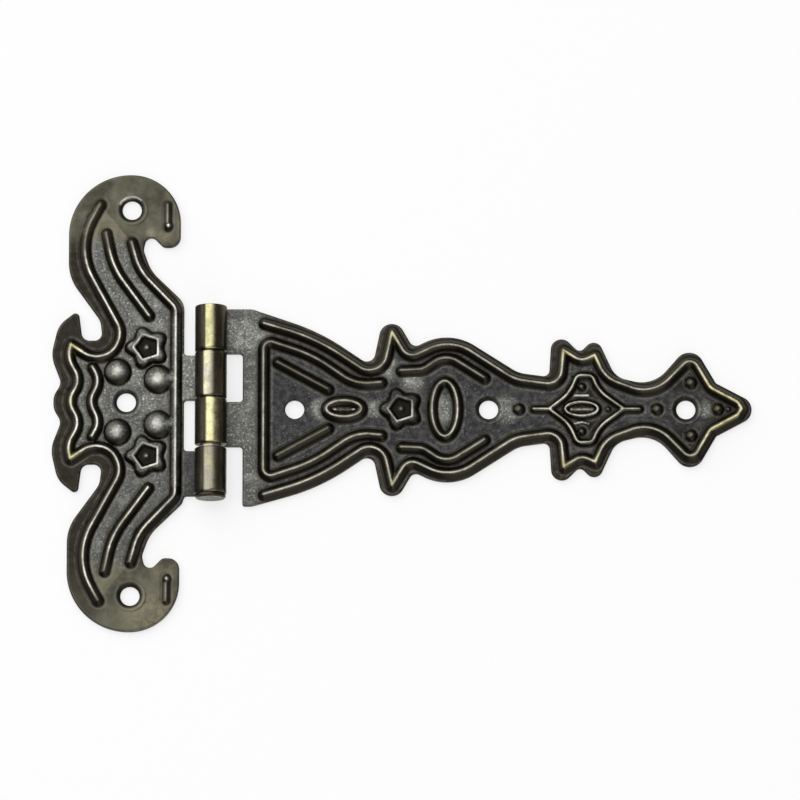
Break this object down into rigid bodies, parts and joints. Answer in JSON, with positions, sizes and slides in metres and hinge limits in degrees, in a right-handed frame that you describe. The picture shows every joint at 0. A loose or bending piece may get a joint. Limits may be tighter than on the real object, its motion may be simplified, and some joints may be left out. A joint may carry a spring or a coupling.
{
  "type": "strap hinge",
  "caption": "Decorative strap hinge: an embossed jamb plate shaped as paired bird heads and a long embossed strap turn on a pin through rolled knuckles.",
  "frame": {"origin": "on the plane of the backs, straight below the pin's axis, at the jamb plate's mid line", "axes": "+X along the strap towards its tip, +Y along the pin away from its head, +Z from the backs towards the embossed fronts"},
  "size_m": [0.1504, 0.1004, 0.0069],
  "materials": {
    "bronzed_steel": "antique bronze plating on steel, dark in the hollows and rubbed bright on the crests",
    "worn_pin": "antique bronze plating on steel, rubbed bright"
  },
  "bodies": {
    "jamb": {"jamb_plate": "bronzed_steel", "hinge_pin": "worn_pin"},
    "strap": {"strap": "bronzed_steel"}
  },
  "joints": [
    {"name": "strap_turn", "type": "hinge", "parent": "jamb", "child": "strap", "pos_m": [0, 0, 0.00345], "axis": [0, -1, 0], "range_deg": [-100, 170]}
  ]
}
